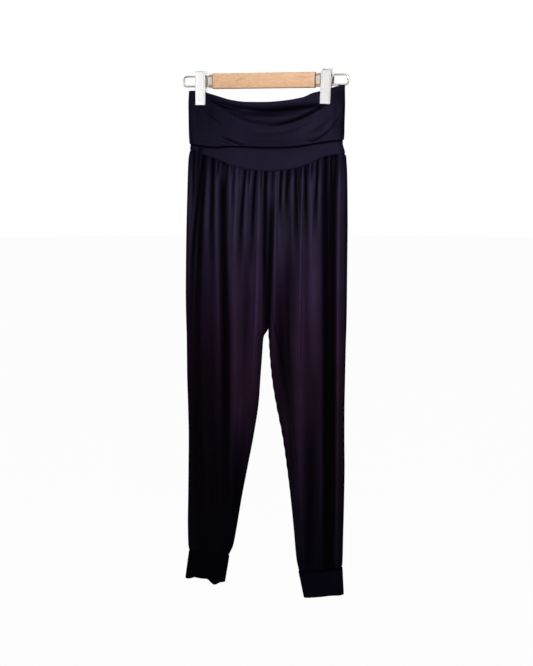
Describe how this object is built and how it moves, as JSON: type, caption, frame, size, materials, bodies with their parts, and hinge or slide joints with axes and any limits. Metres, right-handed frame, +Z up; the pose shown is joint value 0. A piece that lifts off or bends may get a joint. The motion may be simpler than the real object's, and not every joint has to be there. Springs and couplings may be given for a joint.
{
  "type": "lounge trousers on clip hanger",
  "caption": "Loose gathered jersey trousers with a fold-over waistband and narrow cuffs, hanging from a wood and wire hanger with plastic clips.",
  "frame": {"origin": "top centre of the hanger's wood bar, where the hanger is held", "axes": "+X to the wearer's left along the bar, +Y to the wearer's back, +Z up, so the trousers hang down along -Z"},
  "size_m": [0.3382, 0.0535, 1.0614],
  "materials": {
    "jersey": "smooth viscose jersey, near-black navy with a violet cast and a soft sheen on the folds",
    "wood": "planed pale wood with a fine straight grain and a thin satin lacquer",
    "wire": "plain drawn steel wire and spring strip",
    "white_plastic": "moulded white plastic, satin",
    "ivory_plastic": "moulded ivory plastic, matte"
  },
  "bodies": {
    "root": {"waistband_front": "jersey", "waistband_back": "jersey", "front_leg_right": "jersey", "front_leg_left": "jersey", "back_leg_right": "jersey", "back_leg_left": "jersey", "cuff_right": "jersey", "cuff_left": "jersey", "hanger_bar": "wood", "wire_loop_right": "wire", "wire_loop_left": "wire", "sleeve_right": "ivory_plastic", "sleeve_left": "ivory_plastic", "clip_right_front": "white_plastic", "clip_right_back": "white_plastic", "clip_right_spring": "wire", "clip_left_front": "white_plastic", "clip_left_back": "white_plastic", "clip_left_spring": "wire"}
  },
  "joints": []
}
